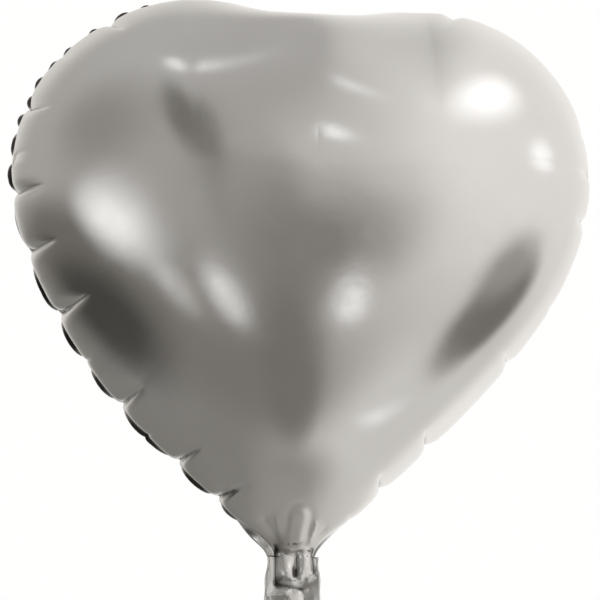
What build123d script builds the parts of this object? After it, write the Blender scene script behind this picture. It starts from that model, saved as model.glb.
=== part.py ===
from build123d import *
import os
from math import acos, asin, cos, hypot, pi, radians, sin, sqrt, tanh

# Heart-shaped foil balloon, inflated. Millimetres.
# The origin is the middle of the neck, where a ribbon is tied. The body stands above it and the tail
# hangs below it. +Z is up and the front panel faces -Y. The seam between the two panels lies in the
# plane y = 0. A film is 0.04 mm thick on the real object. Here each one is a closed solid, made thicker.

# Body, measured along the seam
half_width = 184.0          # centre plane to the seam at the widest level
widest_height = 248.0       # height of the widest level
lobe_offset = 78.0          # centre of each lobe from the centre plane
side_power = 1.08           # how hollow the lower sides are
neck_half_width = 11.5
neck_height = 8.0           # the panels lie flat on each other up to here
lobe_radius = half_width - lobe_offset

# Body, across the seam
cleft_crest = 29.7          # how far the film rises over the cleft before it rolls back into it
depth_limit = 110.0         # half depth that a very wide body would reach
cone_height = 40.0          # height over which the neck opens out

# Films and welds
film = 0.5
rim_half = 0.9              # half thickness of the sealed rim: both panel films and the weld between them
rim_width = 6.0
rim_grip = 0.4              # how far the rim reaches in over the edge of the panels
neck_flare = 6.0            # how gently the seam turns out of the neck
below_neck = -6.0           # where the seam line starts
neck_gap = 1.5              # each side of the fold at the neck
neck_seal_top = neck_height + 2.0

# Valve: two thin films, pressed together, from the inlet up into the body
valve_half_width = 8.5
valve_inner = 0.05          # half of the gap between the two valve films
valve_film = 0.25
valve_root = neck_height + 3.0
valve_top = 105.0
valve_corner = 5.0

# Tail
tail_length = 56.0
tail_inner = 0.4            # the tail's films start this far from the seam plane
tail_seal_width = 5.0
tail_valve_length = 40.0
inlet_height = -22.0
inlet_radius = 4.0

# Sections of the panels
turns = 12                  # sections between the centre plane and the side, evenly turned about the centre
last_turn = radians(86.7)   # the panels are cut off straight at this turn, just inside the widest point
fit_tolerance = 0.02
quarter_points = 7
side_points = 14


def seam_half_width(height, inset=0.0):
    """Half width of the body at a height between the neck and the widest level."""
    above_neck = height - neck_height
    rise = (above_neck + hypot(above_neck, neck_flare)) / 2 / (widest_height - neck_height)
    return neck_half_width - inset + (half_width - neck_half_width) * sin(pi / 2 * min(rise, 1)) ** side_power


def lower_seam(x, inset=0.0):
    """Height of the lower seam at a distance from the centre plane."""
    share = max(abs(x) - neck_half_width + inset, 0) / (half_width - neck_half_width)
    rise = asin(min(share ** (1 / side_power), 1)) * 2 / pi * (widest_height - neck_height)
    return neck_height + max(rise - neck_flare**2 / 4 / max(rise, neck_flare / 2), 0)


def upper_rise(x, inset=0.0):
    """Height of the upper seam above the widest level, on the arc of the lobe."""
    return sqrt(max((lobe_radius - inset) ** 2 - (abs(x) - lobe_offset) ** 2, 0))


def half_depth(height, inset=0.0):
    """Half depth on the centre plane. It is round at the neck and flatter where the body is wide."""
    width = seam_half_width(height)
    opening = sqrt(tanh(max(height - neck_height, 0) / cone_height))
    return max(width * depth_limit / hypot(width, depth_limit) * opening - inset, 0)


def crest(x, inset=0.0):
    """Height of the film's crest above the widest level. Between the lobes it rises clear of the seam."""
    share = max(1 - abs(x) / lobe_offset, 0)
    return upper_rise(x, inset) + cleft_crest * share**3


def section_points(x, reach, inset):
    """(y, z) points across the front of the body, from the upper seam down to the lower seam."""
    flattening = sqrt((1 - (x / reach) ** 2) / (1 - (x / (half_width - inset)) ** 2))
    deepest = half_depth(widest_height, inset) * sqrt(1 - (x / reach) ** 2)
    roll_back = acos(upper_rise(x, inset) / crest(x, inset))
    points = [(0, widest_height + upper_rise(x, inset))]
    for step in range(1, quarter_points):
        share = 1 - step / quarter_points
        height = widest_height + crest(x, inset) * sin((pi / 2 + roll_back) * share)
        points.append((-deepest * cos(pi / 2 * share), height))
    lowest = lower_seam(x, inset) + 2 * inset
    for step in range(quarter_points):
        height = widest_height - (widest_height - lowest) * sin(pi / 2 * step / quarter_points)
        across = x / seam_half_width(height - 2 * inset, inset)
        points.append((-half_depth(height, inset) * sqrt(1 - across**2) * flattening, height))
    return [*points, (0, lowest)]


def film_surface(inset):
    """One side of the front film as a four-sided face. All four of its edges lie in the seam plane."""
    reach = (half_width - inset) * sin(last_turn)
    rows = []
    for turn in range(-turns, turns + 1):
        x = reach * sin(pi / 2 * turn / turns)
        depth_scale = 0 if abs(turn) == turns else 1
        rows.append([Vector(x, y * depth_scale, z) for y, z in section_points(x, reach, inset)])
    return Face.make_surface_from_array_of_points(rows, tol=fit_tolerance, min_deg=3, max_deg=3)


def seam_outline(growth, lowest):
    """The seam line as a face, grown outwards or inwards and cut off at its lowest height."""
    side = []
    for step in range(side_points + 1):
        height = below_neck + (widest_height - below_neck) * step / side_points
        slope = seam_half_width(height + 0.5) - seam_half_width(height - 0.5) if step < side_points else 0
        run = growth / hypot(1, slope)
        side.append((seam_half_width(height) + run, height - run * slope))
    crown = (lobe_offset, widest_height + lobe_radius + growth)
    cleft = (0, widest_height + upper_rise(0, -growth))
    with BuildSketch(mode=Mode.PRIVATE) as outline:
        with BuildLine():
            Spline(*side)
            ThreePointArc(side[-1], crown, cleft)
            Polyline(cleft, (0, side[0][1]), side[0])
        make_face()
        mirror(about=Plane.YZ)
        with Locations((0, lowest)):
            Rectangle(3 * half_width, 3 * half_width, align=(Align.CENTER, Align.MIN), mode=Mode.INTERSECT)
    return outline.sketch_local


def strip(width, lowest, highest, corner=0.0):
    """An upright strip, with both of its upper corners rounded if a corner radius is given."""
    with BuildSketch(mode=Mode.PRIVATE) as outline:
        with Locations((0, (lowest + highest) / 2)):
            Rectangle(width, highest - lowest)
        if corner:
            fillet(outline.vertices().group_by(Axis.Y)[-1], radius=corner)
    return outline.sketch_local


def plane_at(inner, outer, side):
    """The plane that a layer is extruded forwards from. Side is -1 for the front and 1 for the back."""
    return Plane.XZ.offset(inner if side < 0 else -outer)


def neck_seal(side):
    """The neck's film and the root of the valve film behind it, welded into one strip."""
    with BuildPart() as seal:
        with BuildSketch(plane_at(valve_inner, rim_half, side)):
            add(seam_outline(-rim_grip, neck_gap))
            add(strip(half_width, neck_gap, neck_seal_top), mode=Mode.INTERSECT)
        extrude(amount=rim_half - valve_inner)
    return seal.part


def valve_strip(side):
    """One of the two films inside the body that the gas presses together."""
    with BuildPart() as valve:
        with BuildSketch(plane_at(valve_inner, valve_inner + valve_film, side)):
            add(strip(2 * valve_half_width, valve_root, valve_top, valve_corner))
        extrude(amount=valve_film)
    return valve.part


def tail_strip(side, inner, outer, width, length, inlet=False):
    """One film of the tail, with the round inflation inlet through it if asked for."""
    with BuildPart() as tail:
        with BuildSketch(plane_at(inner, outer, side)):
            add(strip(width, -length, -neck_gap))
            if inlet:
                with Locations((0, inlet_height)):
                    Circle(inlet_radius, mode=Mode.SUBTRACT)
        extrude(amount=outer - inner)
    return tail.part


# The panels. Each is a dome of film, closed by the narrow face where its edge meets the other panel.
outer_film = film_surface(0)
inner_film = film_surface(film)
seam_face = Face(outer_film.outer_wire(), [inner_film.outer_wire()])
with BuildPart() as front_panel:
    add(Solid(Shell([outer_film, inner_film, seam_face])))

with BuildPart() as back_panel:
    mirror(front_panel.part, about=Plane.XZ)

# The sealed rim that joins them, open at the neck
with BuildPart() as edge_seal:
    with BuildSketch(plane_at(-rim_half, rim_half, -1)):
        add(seam_outline(rim_width, neck_gap))
        add(seam_outline(-rim_grip, neck_gap), mode=Mode.SUBTRACT)
    extrude(amount=2 * rim_half)

# The weld down both sides of the tail and across its end
tail_width = 2 * (seam_half_width(-neck_gap) + rim_width)
with BuildPart() as tail_edge_seal:
    with BuildSketch(plane_at(-tail_inner, tail_inner, -1)):
        add(strip(tail_width, -tail_length, -neck_gap))
        add(strip(tail_width - 2 * tail_seal_width, tail_seal_width - tail_length, 0), mode=Mode.SUBTRACT)
    extrude(amount=2 * tail_inner)

valve_outer = valve_inner + valve_film
tail_outer = tail_inner + film
valve_width = 2 * valve_half_width
pieces = {
    "front_panel": front_panel.part,
    "back_panel": back_panel.part,
    "edge_seal": edge_seal.part,
    "neck_seal_front": neck_seal(-1),
    "neck_seal_back": neck_seal(1),
    "valve_front_film": valve_strip(-1),
    "valve_back_film": valve_strip(1),
    "tail_front_film": tail_strip(-1, tail_inner, tail_outer, tail_width, tail_length, inlet=True),
    "tail_back_film": tail_strip(1, tail_inner, tail_outer, tail_width, tail_length),
    "tail_edge_seal": tail_edge_seal.part,
    "tail_valve_front": tail_strip(-1, valve_inner, valve_outer, valve_width, tail_valve_length, inlet=True),
    "tail_valve_back": tail_strip(1, valve_inner, valve_outer, valve_width, tail_valve_length),
}

os.makedirs("parts", exist_ok=True)
for name, piece in pieces.items():
    piece.label = name
    export_step(piece, f"parts/{name}.step")
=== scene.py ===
from math import cos, pi, radians, sin

import bpy
import numpy as np
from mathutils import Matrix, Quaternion, Vector
from mathutils.geometry import delaunay_2d_cdt


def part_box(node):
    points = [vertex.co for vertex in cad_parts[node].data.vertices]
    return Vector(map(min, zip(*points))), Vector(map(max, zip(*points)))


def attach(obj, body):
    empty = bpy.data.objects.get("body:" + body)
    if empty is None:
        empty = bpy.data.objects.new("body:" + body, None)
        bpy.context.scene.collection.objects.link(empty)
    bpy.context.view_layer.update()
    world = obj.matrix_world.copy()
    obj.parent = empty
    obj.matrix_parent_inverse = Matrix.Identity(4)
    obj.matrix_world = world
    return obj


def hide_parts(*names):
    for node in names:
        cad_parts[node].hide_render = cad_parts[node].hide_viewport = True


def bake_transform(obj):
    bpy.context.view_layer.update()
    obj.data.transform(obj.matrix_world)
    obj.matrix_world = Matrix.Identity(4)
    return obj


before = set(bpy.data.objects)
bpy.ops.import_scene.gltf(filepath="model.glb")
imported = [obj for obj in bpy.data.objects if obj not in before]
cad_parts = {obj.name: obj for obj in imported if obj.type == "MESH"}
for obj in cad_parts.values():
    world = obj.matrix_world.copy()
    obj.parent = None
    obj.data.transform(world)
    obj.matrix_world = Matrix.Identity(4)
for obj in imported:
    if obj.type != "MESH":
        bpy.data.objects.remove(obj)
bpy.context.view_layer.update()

mm = 0.001

# The balloon's driving dimensions, in metres, the same as the part's.
half_width = 0.184
widest_height = 0.248
lobe_offset = 0.078
side_power = 1.08
neck_half_width = 0.0115
neck_height = 0.008
neck_flare = 0.006
lobe_radius = half_width - lobe_offset
cleft_crest = 0.0297
depth_limit = 0.110
cone_height = 0.040
neck_softness = 0.004
neck_rise = 0.011
seal_width = 0.006
hem_height = 0.003
hem_thickness = 0.0007
hem_thickness_above = 0.0019
hem_blend = 0.006
hem_bulge = 0.0034
hem_bulge_place = 0.0035
hem_bulge_width = 0.0055

# The mesh: rings run from the middle of a panel out to its seam, and stations run round the seam.
panel_middle = (0.0, 0.262)
ring_count = 84
side_stations = 470
hem_stations = 20
dense_steps = 1500
cleft_softness = 0.016

# Creases run from the seam towards the middle of the panel.
crease_spread = 0.0009
crease_widening = 0.035
crease_overhang = 3.2
shallowest_slit = 0.0010
deepest_slit = 0.0020
pinch_width = 0.0016
pinch_share = 0.4
pinch_full_reach = 0.020
notch_spread = 0.0065
notch_fade = 0.012

# The film swells out past its seam in pillows between the creases, and the rim is pressed back behind them.
swell = 0.0040
swell_fade = 0.028
pillow_height = 0.0020
pillow_reach = 0.007
edge_curvature = 0.0485
neck_calm = 0.020
swell_calm = 0.045

# The rim: a laminate band that leans back behind the film, and less where it springs out.
rim_rows = 7
rim_thickness = 0.00022
rim_overlap = 0.0004
rim_lean = radians(80)
rim_spring_turn = radians(36)
rim_curl = radians(14)

detail_top = 0.075
valve_relief = 0.0009

tail_length = 0.056
tail_width = 0.036
tongue_top = 0.0075
tongue_half_width = 0.0085
seal_band = 0.005
valve_half_width = 0.0085
valve_top = -0.0015
valve_bottom = -0.040
inlet_height = -0.022
inlet_radius = 0.004
inlet_steps = 32
fold_start = 0.003


# ---------------------------------------------------------------- shape of the inflated film

def smooth_rise(value, low, high):
    """From 0 at low to 1 at high, level at both ends."""
    share = np.clip((value - low) / (high - low), 0, 1)
    return share**2 * (3 - 2 * share)


def seam_half_width(height):
    """Half the heart's width at a height below the lobes."""
    above_neck = height - neck_height
    rise = (above_neck + np.hypot(above_neck, neck_flare)) / 2 / (widest_height - neck_height)
    opened = np.sin(pi / 2 * np.minimum(rise, 1)) ** side_power
    return neck_half_width + (half_width - neck_half_width) * opened


def upper_rise(x):
    """How far a lobe's arc stands above its centre."""
    return np.sqrt(np.maximum(lobe_radius**2 - (x - lobe_offset) ** 2, 1e-12))


def half_depth(height):
    """Half the depth of the inflated heart on its middle plane, closing to the flat hem at the neck."""
    width = seam_half_width(height)
    above_neck = height - neck_height
    opening = np.sqrt(np.tanh((above_neck + np.hypot(above_neck, neck_softness)) / 2 / cone_height))
    opening = opening * smooth_rise(height, hem_height, hem_height + neck_rise)
    inflated = width * depth_limit / np.hypot(width, depth_limit) * opening
    settled = np.clip((height - hem_height) / hem_blend, 0, 1)
    return np.hypot(inflated, hem_thickness + (hem_thickness_above - hem_thickness) * settled)


def film_points(x, level):
    """The front film over the flat heart's point (x, level), rolled back over the cleft of the lobes."""
    away = np.abs(x)
    rise = upper_rise(away)
    share = np.arcsin(np.clip((level - widest_height) / rise, 0, 1)) * 2 / pi
    soft_away = np.sqrt(away**2 + (cleft_softness * (1 - share**10)) ** 2)
    soft_rise = np.where(share < 1, upper_rise(soft_away), rise)
    crest = soft_rise + cleft_crest * np.maximum(1 - soft_away / lobe_offset, 0) ** 3
    roll_back = np.arccos(np.clip(soft_rise / crest, -1, 1))
    deepest = half_depth(widest_height) * np.sqrt(np.maximum(1 - (x / half_width) ** 2, 0))
    upper_y = -deepest * np.cos(pi / 2 * share)
    upper_z = widest_height + crest * np.sin((pi / 2 + roll_back) * share)
    across = np.clip(x / seam_half_width(level), -1, 1)
    lower_y = -half_depth(level) * np.sqrt(1 - across**2)
    is_upper = level > widest_height
    y = np.where(is_upper, upper_y, lower_y)
    z = np.where(is_upper, upper_z, level)
    return np.stack([x, y, z], -1)


def evenly(points, count):
    """Count points evenly spaced along a dense polyline, its ends among them."""
    steps = np.linalg.norm(np.diff(points, axis=0), axis=1)
    along = np.concatenate([[0], np.cumsum(steps)])
    wanted = np.linspace(0, along[-1], count)
    return np.stack([np.interp(wanted, along, points[:, axis]) for axis in (0, 1)], -1)


def flat_seam():
    """The seam's stations (x, height): up the right side, down the left side, then along the hem."""
    heights = np.linspace(hem_height, widest_height, dense_steps)
    side = np.stack([seam_half_width(heights), heights], -1)
    cleft_angle = pi - np.arccos(lobe_offset / lobe_radius)
    angles = np.linspace(0, cleft_angle, dense_steps)[1:]
    lobe_x = lobe_offset + lobe_radius * np.cos(angles)
    lobe_z = widest_height + lobe_radius * np.sin(angles)
    lobe = np.stack([lobe_x, lobe_z], -1)
    right = evenly(np.concatenate([side, lobe]), side_stations)
    left = right[-2::-1] * (-1, 1)
    hem_x = np.linspace(-right[0, 0], right[0, 0], hem_stations + 2)[1:-1]
    bulge = hem_bulge * np.exp(-(((hem_x - hem_bulge_place) / hem_bulge_width) ** 2))
    hem_z = hem_height + bulge * (1 - (hem_x / right[0, 0]) ** 4)
    hem = np.stack([hem_x, hem_z], -1)
    return np.concatenate([right, left, hem])


seam = flat_seam()
seam_count = 2 * side_stations - 1
middle = np.array(panel_middle)
bearing = np.degrees(np.arctan2(seam[:, 1] - middle[1], seam[:, 0])) % 360
tangent = np.roll(seam, -1, 0) - np.roll(seam, 1, 0)
tangent /= np.linalg.norm(tangent, axis=1)[:, None]
outward = np.stack([tangent[:, 1], -tangent[:, 0]], -1)
outward[side_stations - 1] = (0, 1)
outward[0] = (1, 0)
outward[seam_count - 1] = (-1, 0)
arc = np.concatenate([[0], np.cumsum(np.linalg.norm(np.diff(seam[:seam_count], axis=0), axis=1))])
seam_length = arc[-1]


class Crease:
    """A pleat that runs in from the seam at a bearing round the panel's middle, front or back."""

    def __init__(self, turn, depth, reach, notch, faces, droop=0.0):
        station = int(np.argmin(np.abs((bearing[:seam_count] - turn + 180) % 360 - 180)))
        self.place = arc[station]
        self.upward = 1 if seam[station, 0] > 0 else -1
        self.depth = depth
        self.slit = min(depth, deepest_slit) if depth > shallowest_slit else 0
        self.reach = reach
        self.notch = notch
        self.faces = faces
        self.droop = np.tan(radians(droop))
        self.pinch = pinch_share * self.slit * min(reach / pinch_full_reach, 1.0)

    def above(self, seam_side):
        """How far each station lies above the crease's line, which droops as it runs in from the seam."""
        inset = seam_side**2 / (2 * edge_curvature)
        return (arc - self.place) * self.upward + self.droop * inset

    def valley(self, seam_side):
        """The crease's section round the seam: steep below its line, and a gentle slope above it."""
        above = self.above(seam_side)
        spread = crease_spread + crease_widening * seam_side
        return np.exp(-np.abs(above) / (spread * np.where(above > 0, crease_overhang, 1)))

    def fold_line(self, seam_side, below=0.0, width=pinch_width):
        """A sharp line along the crease, or a little below it."""
        return np.maximum(1 - np.abs(self.above(seam_side) + below) / width, 0)


def main_creases():
    """The deep creases, worst down the left side: bearing, depth, reach, notch and droop.

    The bearing and the droop are in degrees, and the rest in millimetres.
    """
    front = [
        (110, 1.8, 18, 1.4, 0), (148, 1.6, 34, 0.8, 0), (160, 1.0, 22, 0.4, 0), (172, 2.2, 40, 1.0, 0),
        (189.5, 2.6, 44, 1.2, 0), (201, 3.0, 46, 1.6, 0), (215, 4.0, 52, 2.0, 0), (225, 1.0, 18, 0.8, 0),
        (236, 2.6, 42, 1.6, 8), (243, 1.0, 16, 0.6, 20), (250, 2.8, 44, 1.6, 22), (258, 2.8, 42, 1.4, 44),
        (43, 1.4, 18, 0.8, 0), (6, 0.7, 18, 0.2, 0), (348, 1.1, 28, 0.3, 0), (330, 0.8, 16, 0.3, 0),
        (316, 1.3, 30, 0.5, 0), (294, 2.2, 38, 1.0, 0), (284, 1.8, 32, 0.9, 0), (278, 0.8, 14, 0.4, 0),
    ]
    back = [
        (10, 2.2, 20, 0.0, 0), (27, 1.4, 14, 0.0, 0), (46, 1.6, 15, 0.0, 0), (68, 1.4, 14, 0.0, 0),
        (112, 1.5, 14, 0.0, 0), (131, 1.7, 15, 0.0, 0), (149, 1.4, 14, 0.0, 0), (172, 2.2, 20, 0.0, 0),
        (190, 2.6, 22, 0.0, 0), (207, 2.0, 17, 0.0, 0), (229, 2.2, 18, 0.0, 0), (243, 1.8, 15, 0.0, 0),
        (295, 2.2, 18, 0.0, 0), (314, 2.0, 18, 0.0, 0), (335, 2.2, 20, 0.0, 0), (350, 2.4, 22, 0.0, 0),
    ]
    made = []
    for faces, rows in (("front", front), ("back", back)):
        for turn, depth, reach, notch, droop in rows:
            made.append(Crease(turn, depth * mm, reach * mm, notch * mm, faces, droop))
    return made


def fine_creases():
    """Small puckers all round the lobes, at uneven steps along the seam."""
    random = np.random.default_rng(21)
    made = []
    clear_of_neck = 0.055
    lobe_foot = 0.22
    for faces in ("front", "back"):
        place = clear_of_neck
        while place < seam_length - clear_of_neck:
            station = int(np.searchsorted(arc, place))
            on_lobe = float(seam[station, 1] > lobe_foot)
            calm = 0.35 if faces == "front" else 1.0
            strength = (0.25 + 0.55 * on_lobe) * random.uniform(0.4, 1.2) * calm
            reach = random.uniform(6, 12) * mm
            made.append(Crease(bearing[station], 1.1 * mm * strength, reach, 0.5 * mm * strength, faces))
            place += random.uniform(9, 17) * mm
    return made


creases = main_creases() + fine_creases()


def seam_notch():
    """How far each station of the seam is drawn in at the creases."""
    drawn = np.zeros(len(seam))
    for crease in creases:
        drawn[:seam_count] += crease.notch * np.exp(-np.abs(arc - crease.place) / notch_spread)
    return drawn


def hill(turn, width):
    """A smooth rise round one bearing."""
    return np.exp(-((((bearing - turn + 180) % 360 - 180) / width) ** 2))


def seam_swell():
    """How far each station stands outside the flat heart: a real heart isn't quite even.

    Each row is a rise or a dip, in millimetres, its bearing and its width in degrees.
    """
    rows = [
        (4.0, 118, 18), (-2.0, 176, 26), (-1.5, 206, 10), (4.4, 240, 17),
        (1.6, 20, 24), (-3.0, 151, 13), (-1.5, 50, 7), (1.0, 88, 14),
    ]
    return swell + sum(rise * mm * hill(turn, width) for rise, turn, width in rows)


def seam_pillows():
    """How far the front film bulges out beside the seam: less at the creases."""
    height = np.full(len(seam), pillow_height)
    pinched = 0.005
    for crease in creases:
        if crease.faces == "front" and crease.slit:
            height[:seam_count] *= 1 - 0.7 * np.exp(-(((arc - crease.place) / pinched) ** 2))
    return height


def seam_slits(faces):
    """The sharp part of the notch, where the creases of one face reach the seam."""
    cut = np.zeros(len(seam))
    for crease in creases:
        if crease.faces == faces:
            cut[:seam_count] += crease.depth * crease.valley(0)
    return cut


def seam_wave():
    """How far the seam line wanders from the flat, front to back."""
    wander = np.zeros(len(seam))
    for crease in creases:
        side = 1 if crease.faces == "front" else -0.6
        near = np.exp(-(((arc - crease.place) / 0.006) ** 2))
        wander[:seam_count] += side * 0.45 * crease.depth * near
        wander[:seam_count] += side * crease.slit * crease.valley(0)
    slow = 0.7 * mm * np.sin(arc * 2 * pi / 0.083 + 1.1) + 0.5 * mm * np.sin(arc * 2 * pi / 0.047)
    quiet_neck = np.clip(np.minimum(arc, seam_length - arc) / 0.03, 0, 1)
    wander[:seam_count] = (wander[:seam_count] + slow) * quiet_neck
    return wander


# Creases and swelling die away towards the neck, and the hem has none.
from_neck = np.minimum(arc, seam_length - arc)
neck_quiet = np.zeros(len(seam))
neck_quiet[:seam_count] = np.clip(from_neck / neck_calm, 0, 1)
swell_quiet = np.zeros(len(seam))
swell_quiet[:seam_count] = np.sin(pi / 2 * np.clip(from_neck / swell_calm, 0, 1)) ** 2
wave = seam_wave()
notch = seam_notch() * neck_quiet
slits = seam_slits("front") * neck_quiet
grown = seam_swell() * swell_quiet
pillows = seam_pillows() * swell_quiet


def ridge(points, start, end, height, width):
    """A fold line from start to end (x, z): a cusp that falls off to both sides and at its ends."""
    a = np.array(start)
    run = np.array(end) - a
    share = np.clip(((points - a) @ run) / (run @ run), 0, 1)
    gap = points - (a + share[:, None] * run)
    return height * np.exp(-np.linalg.norm(gap, axis=1) / width)


def ridges(points, rows):
    """Fold lines added up: start x and z, end x and z, height and width, in millimetres."""
    folds = 0
    for start_x, start_z, end_x, end_z, height, width in rows:
        start = (start_x * mm, start_z * mm)
        end = (end_x * mm, end_z * mm)
        folds = folds + ridge(points, start, end, height * mm, width * mm)
    return folds


def bump(points, centre, size, height):
    """A smooth swelling round centre (x, z), size its reach in x and z."""
    off = (points - np.array(centre)) / np.array(size)
    return height * np.exp(-(off**2).sum(1))


def valve_emboss(points, height):
    """The inflation valve under the film: a rounded finger with a soft groove round it."""
    low = np.array((-0.5 * mm, 2 * mm))
    high = np.array((1.2 * mm, 29 * mm))
    run = high - low
    share = np.clip(((points - low) @ run) / (run @ run), 0, 1)
    gap = np.linalg.norm(points - (low + share[:, None] * run), axis=1)
    radius = 4.4 * mm + 1.2 * mm * share
    edge = (gap - radius) / (1.7 * mm)
    swelling = 1 / (1 + np.exp(edge * 1.8))
    groove = np.exp(-((edge - 1.2) ** 2) / 2.5)
    return height * (swelling - 0.35 * groove) * smooth_rise(points[:, 1], hem_height, 0.020)


def neck_folds(points):
    """Pleats that gather the film into the neck."""
    rows = [
        (-10.5, 13, -20, 27, -0.8, 2.6),
        (-6.5, 10, -13, 28, 0.8, 1.6),
        (11, 12, 18.5, 22, -0.8, 2.2),
        (10.5, 10, 12.5, 24, 0.8, 1.4),
    ]
    return ridges(points, rows) * smooth_rise(points[:, 1], 0.006, 0.018)


def neck_share(points):
    """From 0 above the neck to 1 at the tail: how much of the crushing reaches a point."""
    return 1 - smooth_rise(points[:, 1], 0.007, 0.015)


def valleys(points):
    """The crushed folds that sink away from the front."""
    rows = [
        (-11.5, 9, -11, -15, 2.6, 1.7),
        (-9, -15.5, 6, -18, 2.6, 1.7),
        (2.5, 2, 1.5, -9, 2.4, 1.7),
        (12, 7, 13.5, -7, 2.4, 1.6),
        (7, -20, 9, -34, 1.0, 1.6),
        (-3, -24, -5, -40, 0.9, 1.8),
    ]
    return ridges(points, rows) * neck_share(points)


def crush(points):
    """Front-to-back place of everything near the neck and of the tail: crushed folds, then a slow curl."""
    x, z = points[:, 0], points[:, 1]
    rows = [
        (-1.5, -5, -0.5, -12, -1.2, 1.8),
        (-0.5, -12, 5, -10, -1.8, 1.7),
        (5, -10, 6, -4, -1.2, 1.7),
        (10, -11, 17, -6, -1.8, 1.7),
        (-15, -23, -4, -20.5, -1.5, 2.4),
    ]
    folds = ridges(points, rows)
    folds += bump(points, (-5 * mm, -7 * mm), (4.5 * mm, 7.5 * mm), -3.0 * mm)
    folds += bump(points, (7 * mm, -1 * mm), (3.5 * mm, 8 * mm), -1.6 * mm)
    slow = 1.1 * mm * np.sin(x * 260 + z * 60) * np.clip(-z / 0.03, 0, 1)
    curl_start = 0.022
    curl_length = tail_length - curl_start
    curl = 3.0 * mm * (np.clip(-z - curl_start, 0, 1) / curl_length) ** 2 * (1 + x * 18)
    return valleys(points) + folds * neck_share(points) + slow + curl


def neck_shade(points):
    """Painted shade near the neck, from 0 to 1: darkest where the crushed folds are deep enough to lie in
    their own shade, with a small painted dark loop and a painted dark patch left of the neck.
    """
    loop = ridge(points, (2.2 * mm, -6 * mm), (1.8 * mm, -9 * mm), 0.6, 1.6 * mm)
    painted_side_shade = bump(points, (-9.5 * mm, 10 * mm), (6.5 * mm, 8 * mm), 0.45)
    deepest = 2.6 * mm
    return np.clip(valleys(points) / deepest, 0, 1) ** 1.5 * 0.9 + loop + painted_side_shade


def crease_shade(faces, seam_side):
    """Painted shade along the front film's creases, where they fold in on themselves: how far the colour is
    darkened, from 0 to 1, at [ring, station].
    """
    shade = np.zeros(seam_side.shape)
    for crease in creases:
        if crease.faces != faces or not crease.slit:
            continue
        along = np.clip(seam_side[:, :seam_count] / (0.85 * crease.reach), 0, 1)
        taper = np.clip(along / 0.12, 0, 1) * (1 - along**2)
        line = crease.fold_line(seam_side[:, :seam_count], 0.5 * mm, 1.4 * mm)
        shade[:, :seam_count] += taper * np.minimum(1.6 * line, 1) * min(crease.depth / deepest_slit, 1)
    return np.minimum(shade, 1)


def seam_place():
    """The seam's stations in space, the same for both films and the rim."""
    drawn = notch + slits - grown
    flat = seam - drawn[:, None] * outward
    return np.stack([flat[:, 0], wave + crush(flat), flat[:, 1]], -1)


seam_points = seam_place()


def panel_grid(faces):
    """The film's points, [ring, station], and how far each is from the seam. Ring 0 is the middle."""
    around = np.arange(1, ring_count + 1) / ring_count
    spread = np.sin(pi / 2 * around)
    flat = middle + (seam - middle) * spread[:, None, None]
    points = film_points(flat[..., 0], flat[..., 1])
    seam_side = np.zeros((ring_count, len(seam)))
    steps = np.linalg.norm(np.diff(points, axis=0), axis=2)
    seam_side[:-1] = np.cumsum(steps[::-1], axis=0)[::-1]

    along = np.roll(points, -1, 1) - np.roll(points, 1, 1)
    inward = np.gradient(points, axis=0)
    normal = np.cross(inward, along)
    normal /= np.maximum(np.linalg.norm(normal, axis=2), 1e-12)[..., None]

    lift = np.zeros((ring_count, len(seam)))
    round_seam = seam_side[:, :seam_count]
    for crease in creases:
        if crease.faces != faces:
            continue
        share = np.clip(round_seam / crease.reach, 0, 1)
        length_profile = (1 - share**2) * (1 - 0.35 * share)
        lift[:, :seam_count] -= crease.depth * length_profile * crease.valley(round_seam)
        lift[:, :seam_count] -= crease.pinch * (1 - share**3) * crease.fold_line(round_seam)
    lift *= neck_quiet
    flat_points = points[..., [0, 2]].reshape(-1, 2)
    near_neck = (flat_points[:, 1] < detail_top).astype(float)
    shown = 1.0 if faces == "front" else 0.5
    detail = near_neck * (valve_emboss(flat_points, valve_relief * shown) + neck_folds(flat_points))
    off_seam = 1 - np.exp(-((seam_side / 0.004) ** 2))
    off_seam[:, seam_count:] = 1
    lift += detail.reshape(lift.shape) * off_seam

    points = points + normal * lift[..., None]
    drawn = np.exp(-seam_side / notch_fade) * notch - np.exp(-seam_side / swell_fade) * grown
    if faces == "back":
        drawn = drawn + np.exp(-seam_side / 0.003) * slits
    else:
        beside = seam_side / pillow_reach
        drawn = drawn - pillows * beside * np.exp(1 - beside)
    points[..., 0] -= drawn * outward[:, 0]
    points[..., 2] -= drawn * outward[:, 1]
    if faces == "back":
        points[..., 1] *= -1
    points[..., 1] += np.exp(-seam_side / 0.008) * wave
    points[..., 1] += crush(points[..., [0, 2]].reshape(-1, 2)).reshape(lift.shape)
    points[-1, :seam_count] = seam_points[:seam_count]
    # Painted shade along the creases and near the neck, for the foil's colour to mix in.
    shade = crease_shade(faces, seam_side) + neck_shade(flat_points).reshape(lift.shape)
    return points, seam_side, shade


# ---------------------------------------------------------------- mesh helpers

def make_object(name, vertices, polygons, material):
    """A smooth-shaded mesh object in the scene."""
    mesh = bpy.data.meshes.new(name)
    mesh.from_pydata([tuple(v) for v in vertices], [], polygons)
    mesh.validate()
    mesh.shade_smooth()
    mesh.materials.append(material)
    made = bpy.data.objects.new(name, mesh)
    bpy.context.scene.collection.objects.link(made)
    return made


def store(piece, name, values):
    """Keep one number for each vertex, for the piece's material to read."""
    attribute = piece.data.attributes.new(name, "FLOAT", "POINT")
    attribute.data.foreach_set("value", np.asarray(values, np.float32))


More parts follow.
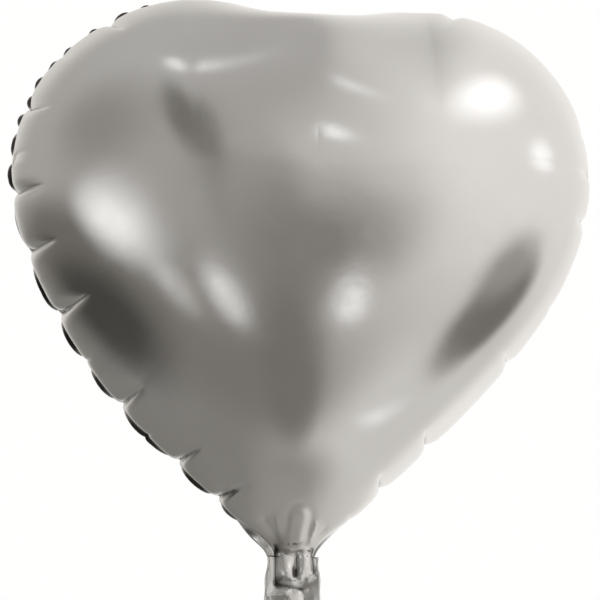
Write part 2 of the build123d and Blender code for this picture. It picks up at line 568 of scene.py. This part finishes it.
def panel(name, faces, material):
    """One inflated film, front or back: rings of quads round a fan at its middle."""
    points, seam_side, shade = panel_grid(faces)
    centre_level = np.array([panel_middle[1]])
    centre = film_points(np.array([0.0]), centre_level)[0]
    if faces == "back":
        centre[1] *= -1
    count = len(seam)
    vertices = np.concatenate([[centre], points.reshape(-1, 3)])
    polygons = []
    for i in range(count):
        j = (i + 1) % count
        polygons.append((0, 1 + i, 1 + j))
        for ring in range(ring_count - 1):
            inner = 1 + ring * count
            outer = inner + count
            polygons.append((inner + i, outer + i, outer + j, inner + j))
    if faces == "back":
        polygons = [p[::-1] for p in polygons]
    piece = make_object(name, vertices, polygons, material)
    store(piece, "seam_side", np.concatenate([[0.2], seam_side.ravel()]))
    # The painted shade of the creases and the neck, darkening the foil's colour.
    store(piece, "fold_shade", np.concatenate([[0], shade.ravel()]))
    return piece


def rim_springs():
    """How far the rim springs out from behind the film at each station: at 1 a strip of 3 mm shows.

    Each row is one spring: the bearings where it starts and ends, in degrees, and how far out it stands.
    """
    rows = [
        (119, 123, 0.6), (137.5, 140.5, 0.85), (142, 146.5, 0.95), (149.5, 152.5, 0.95), (156, 159.5, 0.85),
        (160, 163.5, 0.8), (164.5, 168, 0.85), (169, 172, 0.8), (173, 176, 0.75), (177, 182, 0.75),
        (183, 188.5, 0.9), (191, 199, 0.3), (204, 214, 0.75), (216, 224, 0.75), (227, 234, 0.65),
        (237, 248, 0.75), (251, 257, 0.75), (259, 262, 0.5),
    ]
    spring = np.zeros(seam_count)
    for first, last, strength in rows:
        share = np.clip((bearing[:seam_count] - first) / (last - first), 0, 1)
        spring += strength * np.sin(pi * share) ** 0.6
    return spring


def flange(name, material):
    """The heat-sealed rim outside the seam, pressed back behind the film and springing out in places, with
    painted shade on its front where it springs out and near the neck on the right.
    """
    spring = rim_springs()
    on_right = arc < seam_length / 2
    quiet = np.sin(pi / 2 * np.clip((from_neck - 4 * mm) / (36 * mm), 0, 1)) ** 2
    quiet = np.where(on_right, 0.72 + 0.28 * quiet, quiet)
    lean = quiet * (rim_lean - rim_spring_turn * spring)
    narrowing = 2.1 * mm * np.exp(-from_neck / 0.010)
    width = seal_width - narrowing + 0.2 * mm * np.sin(arc * 2 * pi / 0.031)
    pleat = np.zeros(seam_count)
    for crease in creases:
        side = 1 if crease.faces == "front" else -0.5
        pleat += side * crease.slit * crease.valley(0)
    out = outward[:seam_count]
    base = seam_points[:seam_count].copy()
    base[:, 1] -= hem_thickness * np.exp(-from_neck / 0.006)
    middle_line = []
    normals = []
    step = (width + rim_overlap) / (rim_rows - 1)
    spot = base - np.stack([out[:, 0], np.zeros(seam_count), out[:, 1]], -1) * rim_overlap
    for row in range(rim_rows):
        share = row / (rim_rows - 1)
        angle = lean + rim_curl * quiet * (share - 0.5)
        flat_share = np.cos(angle)
        back_share = np.sin(angle)
        direction = np.stack([out[:, 0] * flat_share, back_share, out[:, 1] * flat_share], -1)
        normal = np.stack([-out[:, 0] * back_share, flat_share, -out[:, 1] * back_share], -1)
        if row:
            spot = spot + direction * step[:, None]
        fold = (0.35 * share * pleat * quiet)[:, None] * np.array((0, 1, 0))
        middle_line.append(spot + fold)
        normals.append(normal)
    front_side = [p - n * rim_thickness / 2 for p, n in zip(middle_line, normals)]
    back_side = [p + n * rim_thickness / 2 for p, n in zip(middle_line, normals)]
    loop = front_side + back_side[::-1]
    vertices = np.stack(loop, 1).reshape(-1, 3)
    turns = len(loop)
    polygons = []
    for station in range(seam_count - 1):
        for k in range(turns):
            n = (k + 1) % turns
            a = station * turns
            b = a + turns
            polygons.append((a + k, a + n, b + n, b + k))
    polygons.append(tuple(range(turns))[::-1])
    polygons.append(tuple((seam_count - 1) * turns + k for k in range(turns)))
    piece = make_object(name, vertices, polygons, material)
    across = np.linspace(0, 1, rim_rows)
    # Painted shade on the rim's front side only: dark where the rim springs out, and near the neck on the
    # right.
    shown = np.concatenate([np.clip((across - 0.1) / 0.3, 0, 1), np.zeros(rim_rows)])
    shaded = np.minimum(1.4 * spring, 1) + 0.8 * on_right * np.exp(-((arc / 0.018) ** 2))
    shade = shaded[:, None] * shown[None, :]
    store(piece, "fold_shade", shade.ravel())
    return piece


def dense_loop(corners, spacing):
    """A closed polyline through the corners with points at about that spacing."""
    made = []
    for i, corner in enumerate(corners):
        following = corners[(i + 1) % len(corners)]
        run_x = following[0] - corner[0]
        run_z = following[1] - corner[1]
        steps = max(1, int(round(np.hypot(run_x, run_z) / spacing)))
        for step in range(steps):
            share = step / steps
            made.append((corner[0] + run_x * share, corner[1] + run_z * share))
    return made


def inside(points, loop):
    """Which points lie inside a closed polyline."""
    x, z = points[:, 0], points[:, 1]
    within = np.zeros(len(points), bool)
    for (ax, az), (bx, bz) in zip(loop, loop[1:] + loop[:1]):
        crosses = (az > z) != (bz > z)
        with np.errstate(divide="ignore", invalid="ignore"):
            at = ax + (z - az) * (bx - ax) / (bz - az)
        within ^= crosses & (x < at)
    return within


def distance_to(points, loop):
    """The distance from each point to the nearest corner of a dense loop."""
    corners = np.array(loop)
    return np.sqrt(((points[:, None] - corners[None]) ** 2).sum(-1)).min(1)


def film_sheet(name, outline, front_y, back_y, shift, material, hole=None, spacing=0.0011):
    """A thin closed sheet between front_y and back_y, cut to an outline (x, z), moved by shift(x, z)."""
    outer = dense_loop(outline, spacing)
    loops = [outer] + ([hole] if hole else [])
    flat_outer = np.array(outer)
    low = flat_outer.min(0)
    high = flat_outer.max(0)
    columns = np.arange(low[0] + spacing / 2, high[0], spacing)
    rows = np.arange(low[1] + spacing / 2, high[1], spacing)
    grid = np.array([(x, z) for z in rows for x in columns])
    keep = inside(grid, outer) & (distance_to(grid, outer) > spacing * 0.6)
    if hole:
        keep &= ~inside(grid, hole) & (distance_to(grid, hole) > spacing * 0.6)
    flat = [Vector(p) for loop in loops for p in loop] + [Vector(p) for p in grid[keep]]
    edges = []
    first = 0
    for loop in loops:
        edges += [(first + i, first + (i + 1) % len(loop)) for i in range(len(loop))]
        first += len(loop)
    made = delaunay_2d_cdt(flat, edges, [], 2, 1e-7)
    cut = np.array([tuple(v) for v in made[0]])
    triangles = [tuple(t) for t in made[2]]
    moved = shift(cut)
    front = np.stack([cut[:, 0], front_y + moved, cut[:, 1]], -1)
    back = np.stack([cut[:, 0], back_y + moved, cut[:, 1]], -1)
    count = len(cut)
    used = {}
    for triangle in triangles:
        for i in range(3):
            a, b = triangle[i], triangle[(i + 1) % 3]
            key = (min(a, b), max(a, b))
            used[key] = None if key in used else (a, b)
    polygons = list(triangles)
    polygons += [tuple(count + i for i in t[::-1]) for t in triangles]
    polygons += [(b, a, count + a, count + b) for a, b in (pair for pair in used.values() if pair)]
    piece = make_object(name, np.concatenate([front, back]), polygons, material)
    store(piece, "seam_side", np.full(2 * count, 0.004))
    # Painted shade of the crushed folds near the neck, on both faces of the sheet.
    store(piece, "fold_shade", np.tile(neck_shade(cut), 2))
    return piece


# ---------------------------------------------------------------- materials

def new_material(name):
    """An empty node material and its shader."""
    material = bpy.data.materials.new(name)
    material.use_nodes = True
    nodes = material.node_tree.nodes
    nodes.clear()
    output = nodes.new("ShaderNodeOutputMaterial")
    shader = nodes.new("ShaderNodeBsdfPrincipled")
    material.node_tree.links.new(shader.outputs[0], output.inputs[0])
    return material, shader


def noise(material, scale, detail, roughness=0.5, distortion=0.0, stretch=None):
    """A noise texture over the object's own space, and the node that it comes from."""
    nodes = material.node_tree.nodes
    links = material.node_tree.links
    place = nodes.new("ShaderNodeTexCoord")
    texture = nodes.new("ShaderNodeTexNoise")
    texture.inputs["Scale"].default_value = scale
    texture.inputs["Detail"].default_value = detail
    texture.inputs["Roughness"].default_value = roughness
    texture.inputs["Distortion"].default_value = distortion
    source = place.outputs["Object"]
    if stretch:
        mapping = nodes.new("ShaderNodeMapping")
        mapping.inputs["Scale"].default_value = stretch
        links.new(source, mapping.inputs["Vector"])
        source = mapping.outputs["Vector"]
    links.new(source, texture.inputs["Vector"])
    return texture.outputs[0]


def remap(material, value, low, high, to_low, to_high):
    """A value taken from the range low to high into the range to_low to to_high."""
    node = material.node_tree.nodes.new("ShaderNodeMapRange")
    for socket, number in zip(("From Min", "From Max", "To Min", "To Max"), (low, high, to_low, to_high)):
        node.inputs[socket].default_value = number
    material.node_tree.links.new(value, node.inputs["Value"])
    return node.outputs[0]


def bump_node(material, height, strength, distance, below=None):
    """A bump of a given height over another one."""
    node = material.node_tree.nodes.new("ShaderNodeBump")
    node.inputs["Distance"].default_value = distance
    if isinstance(strength, float):
        node.inputs["Strength"].default_value = strength
    else:
        material.node_tree.links.new(strength, node.inputs["Strength"])
    material.node_tree.links.new(height, node.inputs["Height"])
    if below:
        material.node_tree.links.new(below, node.inputs["Normal"])
    return node.outputs[0]


def two_tone(material, factor, dark, light):
    """A colour between dark and light. Dark may be another node's colour."""
    node = material.node_tree.nodes.new("ShaderNodeMix")
    node.data_type = "RGBA"
    if isinstance(dark, tuple):
        node.inputs["A"].default_value = (*dark, 1)
    else:
        material.node_tree.links.new(dark, node.inputs["A"])
    node.inputs["B"].default_value = (*light, 1)
    material.node_tree.links.new(factor, node.inputs["Factor"])
    return node.outputs["Result"]


def stored(material, name):
    """The number kept for each vertex under a name."""
    node = material.node_tree.nodes.new("ShaderNodeAttribute")
    node.attribute_name = name
    return node.outputs["Fac"]


def foil_material(name, dark, light, smoothest, roughest, crinkle):
    """Metallised film: a soft mirror, faintly clouded, crinkled near the seam, and mixed towards near-black
    with painted shade where its stored fold_shade says: in its folds, near the neck and where the rim
    springs out.
    """
    material, shader = new_material(name)
    links = material.node_tree.links
    shader.inputs["Metallic"].default_value = 1.0
    clouds = noise(material, 9.0, 3.0)
    foil_colour = two_tone(material, clouds, dark, light)
    # Painted shade: the stored fold_shade mixes the foil's colour towards a near-black.
    painted_shade_share = remap(material, stored(material, "fold_shade"), 0.05, 0.85, 0.0, 1.0)
    links.new(two_tone(material, painted_shade_share, foil_colour, painted_shade_colour), shader.inputs["Base Color"])
    scuffs = noise(material, 45.0, 5.0, 0.6)
    links.new(remap(material, scuffs, 0.3, 0.7, smoothest, roughest), shader.inputs["Roughness"])
    near_seam = remap(material, stored(material, "seam_side"), 0.0, 0.030, 1.0, 0.12)
    slow = noise(material, 14.0, 1.0)
    fine = noise(material, 160.0, 3.0, 0.55, 0.4)
    grain = noise(material, 1400.0, 2.0)
    normal = bump_node(material, slow, 0.12, 0.004)
    normal = bump_node(material, fine, near_seam, crinkle, normal)
    normal = bump_node(material, grain, 0.10, 0.00002, normal)
    links.new(normal, shader.inputs["Normal"])
    return material


def valve_material():
    """Clear gloss film of the inflation valve, with a faint wrinkle."""
    material, shader = new_material("valve_film_look")
    links = material.node_tree.links
    haze = noise(material, 60.0, 3.0)
    links.new(two_tone(material, haze, (0.78, 0.79, 0.80), (0.92, 0.93, 0.94)), shader.inputs["Base Color"])
    links.new(remap(material, haze, 0.3, 0.7, 0.12, 0.30), shader.inputs["Roughness"])
    shader.inputs["Alpha"].default_value = 0.55
    shader.inputs["IOR"].default_value = 1.49
    wrinkle = noise(material, 120.0, 2.0, stretch=(1, 1, 0.25))
    links.new(bump_node(material, wrinkle, 0.35, 0.0004), shader.inputs["Normal"])
    return material


# The near-black of the painted shade that the foils' colours are mixed towards in folds, near the neck and
# on the rim.
painted_shade_colour = (0.045, 0.040, 0.035)
silver_dark = (0.60, 0.585, 0.57)
silver_light = (0.72, 0.71, 0.695)
panel_foil = foil_material("panel_foil_look", silver_dark, silver_light, 0.12, 0.18, 0.00016)
rim_foil = foil_material("rim_foil_look", (0.66, 0.65, 0.63), (0.76, 0.75, 0.735), 0.24, 0.34, 0.00010)
tail_foil = foil_material("tail_foil_look", silver_dark, silver_light, 0.18, 0.28, 0.00025)
valve_look = valve_material()

# ---------------------------------------------------------------- the balloon

front_foil = panel("front_foil", "front", panel_foil)
back_foil = panel("back_foil", "back", panel_foil)
seam_flange = flange("seam_flange", rim_foil)
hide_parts("front_panel")
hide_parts("back_panel")
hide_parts("edge_seal")
for piece, slot_name in ((front_foil, "panel_foil"), (back_foil, "panel_foil"), (seam_flange, "rim_foil")):
    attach(piece, "balloon")


# ---------------------------------------------------------------- the tail

def tail_half_width(z):
    """Half the tail's width, with a waist where it leaves the neck and slightly uneven edges."""
    waist = 1.6 * mm * np.exp(-(((z - 1 * mm) / (9 * mm)) ** 2))
    return tail_width / 2 - waist + 0.2 * mm * np.sin(z * 420)


def side_line(inset, top, bottom, count=36):
    """The tail's right edge, from top to bottom, drawn in by inset."""
    heights = np.linspace(top, bottom, count)
    return [(float(tail_half_width(z) - inset), float(z)) for z in heights]


def tail_outline(inset, top, bottom):
    """The tail's films, with a narrow tongue that reaches up inside the neck."""
    right = side_line(inset, top, bottom)
    left = [(-x, z) for x, z in right[::-1]]
    tongue = [
        (-tongue_half_width, top), (-tongue_half_width, tongue_top),
        (tongue_half_width, tongue_top), (tongue_half_width, top),
    ]
    return tongue + right + left


def seal_outline():
    """The sealed band down both sides of the tail and across its end."""
    outer = side_line(0, fold_start, -tail_length)
    inner = side_line(seal_band, fold_start, -tail_length + seal_band)
    left_outer = [(-x, z) for x, z in outer[::-1]]
    left_inner = [(-x, z) for x, z in inner]
    return outer + left_outer + left_inner + inner[::-1]


def strip_outline(half, top, bottom):
    """A plain upright strip."""
    return [(-half, top), (half, top), (half, bottom), (-half, bottom)]


def inlet_outline():
    """The round inflation inlet."""
    turns = [2 * pi * i / inlet_steps for i in range(inlet_steps)]
    return [(inlet_radius * cos(turn), inlet_height + inlet_radius * sin(turn)) for turn in turns]


# Front-to-back places of the tail's layers, from its middle plane out.
valve_inside = 0.00015
valve_outside = 0.0004
film_inside = 0.0005
film_outside = 0.0009
edge_inset = 0.0002

inlet = inlet_outline()
film = tail_outline(edge_inset, fold_start, -tail_length + edge_inset)
weld = seal_outline()
strip = strip_outline(valve_half_width, valve_top, valve_bottom)
tail_pieces = [
    ("tail_front_foil", "tail_front_film", film, -film_outside, -film_inside, inlet),
    ("tail_back_foil", "tail_back_film", film, film_inside, film_outside, None),
    ("tail_side_seal", "tail_edge_seal", weld, -valve_outside, valve_outside, None),
    ("tail_valve_front_strip", "tail_valve_front", strip, -valve_outside, -valve_inside, inlet),
    ("tail_valve_back_strip", "tail_valve_back", strip, valve_inside, valve_outside, None),
]
looks = {"tail_foil": tail_foil, "rim_foil": rim_foil, "valve_film": valve_look}
tail_slots = {
    "tail_front_film": "tail_foil",
    "tail_back_film": "tail_foil",
    "tail_edge_seal": "rim_foil",
    "tail_valve_front": "valve_film",
    "tail_valve_back": "valve_film",
}
for name, node, outline, front_y, back_y, hole in tail_pieces:
    slot_name = tail_slots[node]
    piece = film_sheet(name, outline, front_y, back_y, crush, looks[slot_name], hole)
    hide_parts(node)
    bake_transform(piece)

neck_seal_half_width = 0.0095
neck_seal_lift = 0.0016
neck_seal_inside = 0.00035
neck_seal_outside = 0.0006
neck_seals = [
    ("neck_seal_front", -neck_seal_outside, -neck_seal_inside),
    ("neck_seal_back", neck_seal_inside, neck_seal_outside),
]
for node, front_y, back_y in neck_seals:
    low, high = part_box(node)
    outline = strip_outline(neck_seal_half_width, high.z, low.z + neck_seal_lift)
    piece = film_sheet(node + "_film", outline, front_y, back_y, crush, rim_foil)
    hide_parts(node)
    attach(piece, "balloon")
for node in ("valve_front_film", "valve_back_film"):
    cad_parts[node].data.materials.clear()
    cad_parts[node].data.materials.append(valve_look)


# ---------------------------------------------------------------- studio

floor_height = -0.75
floor_size = 6.0


def toward(azimuth, elevation):
    """The direction from the balloon to something seen from it: azimuth 0 is in front, 90 to the right."""
    a, e = radians(azimuth), radians(elevation)
    return Vector((sin(a) * cos(e), -cos(a) * cos(e), sin(e)))


def matte(name, colour):
    """A plain painted surface with a faint mottle."""
    material, shader = new_material(name)
    mottle = noise(material, 3.0, 4.0)
    darker = tuple(c * 0.94 for c in colour)
    material.node_tree.links.new(two_tone(material, mottle, darker, colour), shader.inputs["Base Color"])
    shader.inputs["Roughness"].default_value = 0.9
    return material


def studio_floor():
    """A plain pale floor well below the balloon, left out of what the foil mirrors."""
    corners = [(-1, -1), (1, -1), (1, 1), (-1, 1)]
    vertices = [(x * floor_size, y * floor_size, floor_height) for x, y in corners]
    floor = make_object("studio_floor", vertices, [(0, 1, 2, 3)], matte("floor_paint", (0.82, 0.81, 0.80)))
    floor.visible_glossy = False


# The room that the foil mirrors: soft patches of light and shade round the balloon, each over the last.
# Azimuth, elevation, half width, half height and tilt in degrees, then edge softness, brightness, warmth.
room_patches = [
    (0, 90, 50, 50, 0, 0.6, 0.58, 0.4),
    (97, 20, 78, 48, 0, 0.20, 1.05, 0.4),
    (72, -46, 50, 28, 0, 0.5, 0.85, 0.4),
    (-95, -55, 85, 25, 0, 0.6, 0.31, 0.7),
    (-165, -36, 40, 16, 0, 0.6, 0.28, 0.8),
    (0, -86, 16, 16, 0, 0.7, 0.38, 1.0),
    (-60, 24, 20, 20, 0, 0.8, 0.37, 0.7),
    (-20, -36, 34, 22, 0, 0.6, 0.27, 1.0),
    (-88, -20, 44, 15, 0, 0.45, 0.21, 1.1),
    (-88, -32, 30, 11, 0, 0.5, 0.08, 1.4),
    (-1, -32, 11, 30, 0, 0.4, 0.24, 1.0),
    (8, -3, 20, 6, 0, 0.7, 0.28, 1.0),
    (80, -23, 19, 11, 0, 0.28, 0.23, 1.0),
    (74, -14, 14, 6, 0, 0.5, 0.42, 0.8),
    (-24, 27, 5, 24, 18, 0.4, 0.21, 1.0),
    (-52, -7, 14, 7, 0, 0.8, 1.35, 0.0),
    (-36, -17, 5, 3.5, 0, 0.8, 0.80, 0.3),
    (-19, -14, 4.5, 4, 0, 0.7, 1.35, 0.0),
    (17, -11, 4.5, 3, -25, 0.7, 1.5, 0.0),
    (-40, 64, 5, 2.5, -50, 0.6, 1.3, 0.0),
    (25, 43, 3.5, 2.6, 0, 0.6, 1.3, 0.0),
    (11.5, 19, 4, 2.5, 0, 0.5, 1.4, 0.0),
    (66, 41, 14, 8, 20, 0.8, 1.8, 0.0),
    (81, 14, 7, 5, 0, 0.7, 1.6, 0.0),
    (62, -46, 9, 3, 10, 0.8, 1.2, 0.0),
    (-165, 18, 34, 32, 0, 0.4, 0.85, 0.6),
    (150, -5, 26, 50, 0, 0.4, 1.12, 0.4),
]


def warm_grey(brightness, warmth):
    """A grey with a little more red and less blue the warmer it is."""
    red, green, blue = [brightness * (1 + change * warmth) for change in (0.02, -0.02, -0.09)]
    return (red, green, blue, 1)


def room_light(tree):
    """The colour of the room in each direction, patch over patch."""
    nodes, links = tree.nodes, tree.links
    ray = nodes.new("ShaderNodeTexCoord").outputs["Generated"]
    base = nodes.new("ShaderNodeRGB")
    base.outputs[0].default_value = warm_grey(0.52, 0.6)
    colour = base.outputs[0]
    for azimuth, elevation, half_w, half_h, tilt, softness, brightness, warmth in room_patches:
        centre = toward(azimuth, elevation)
        turn = centre.to_track_quat("Z", "Y") @ Quaternion((0, 0, 1), radians(tilt))
        along = turn @ Vector((1, 0, 0)) / sin(radians(half_w))
        upward = turn @ Vector((0, 1, 0)) / sin(radians(half_h))
        parts = nodes.new("ShaderNodeCombineXYZ")
        for socket, direction in zip(("X", "Y"), (along, upward)):
            dot = nodes.new("ShaderNodeVectorMath")
            dot.operation = "DOT_PRODUCT"
            dot.inputs[1].default_value = direction
            links.new(ray, dot.inputs[0])
            links.new(dot.outputs["Value"], parts.inputs[socket])
        facing = nodes.new("ShaderNodeVectorMath")
        facing.operation = "DOT_PRODUCT"
        facing.inputs[1].default_value = centre * -6
        links.new(ray, facing.inputs[0])
        behind = nodes.new("ShaderNodeMath")
        behind.operation = "MAXIMUM"
        behind.inputs[1].default_value = 0
        links.new(facing.outputs["Value"], behind.inputs[0])
        links.new(behind.outputs[0], parts.inputs["Z"])
        reach = nodes.new("ShaderNodeVectorMath")
        reach.operation = "LENGTH"
        links.new(parts.outputs[0], reach.inputs[0])
        edge = nodes.new("ShaderNodeMapRange")
        edge.interpolation_type = "SMOOTHSTEP"
        edge.inputs["From Min"].default_value = 1 - softness
        edge.inputs["From Max"].default_value = 1 + softness
        edge.inputs["To Min"].default_value = 1
        edge.inputs["To Max"].default_value = 0
        links.new(reach.outputs["Value"], edge.inputs["Value"])
        over = nodes.new("ShaderNodeMix")
        over.data_type = "RGBA"
        links.new(edge.outputs[0], over.inputs["Factor"])
        links.new(colour, over.inputs["A"])
        over.inputs["B"].default_value = warm_grey(brightness, warmth)
        colour = over.outputs["Result"]
    return colour


def studio_air():
    """The room, and a plain pale backdrop where the camera looks past the balloon."""
    world = bpy.data.worlds.new("studio_air")
    bpy.context.scene.world = world
    world.use_nodes = True
    tree = world.node_tree
    tree.nodes.clear()
    backdrop = tree.nodes.new("ShaderNodeBackground")
    backdrop.inputs["Color"].default_value = (1.0, 0.998, 0.994, 1)
    room = tree.nodes.new("ShaderNodeBackground")
    tree.links.new(room_light(tree), room.inputs["Color"])
    path = tree.nodes.new("ShaderNodeLightPath")
    choose = tree.nodes.new("ShaderNodeMixShader")
    out = tree.nodes.new("ShaderNodeOutputWorld")
    tree.links.new(path.outputs["Is Camera Ray"], choose.inputs["Fac"])
    tree.links.new(room.outputs[0], choose.inputs[1])
    tree.links.new(backdrop.outputs[0], choose.inputs[2])
    tree.links.new(choose.outputs[0], out.inputs[0])


def overhead_light():
    """A large soft box over the balloon, for the floor's soft shadow."""
    light = bpy.data.lights.new("overhead_soft_box", "AREA")
    light.size = 1.6
    light.energy = 30
    lamp = bpy.data.objects.new("overhead_soft_box", light)
    bpy.context.scene.collection.objects.link(lamp)
    lamp.location = (-0.3, -0.3, 2.2)
    lamp.visible_glossy = False


studio_floor()
studio_air()
overhead_light()

# ---------------------------------------------------------------- camera

camera_azimuth = -6.0
camera_elevation = -2.9
camera_roll = 1.24
camera_distance = 1.852
frame_width = 0.3884
aim = Vector((0.0009, 0, 0.1687))

camera_data = bpy.data.cameras.new("studio_camera")
camera_data.sensor_width = 36.0
camera_data.lens = camera_data.sensor_width * camera_distance / frame_width
camera_data.clip_start = 0.05
camera_data.clip_end = 50.0
camera = bpy.data.objects.new("studio_camera", camera_data)
bpy.context.scene.collection.objects.link(camera)
back_of_camera = toward(camera_azimuth, camera_elevation)
camera.location = aim + back_of_camera * camera_distance
camera.rotation_mode = "QUATERNION"
camera_turn = back_of_camera.to_track_quat("Z", "Y")
camera.rotation_quaternion = camera_turn @ Quaternion((0, 0, 1), radians(camera_roll))
bpy.context.scene.camera = camera
bpy.context.scene.view_settings.view_transform = "Standard"
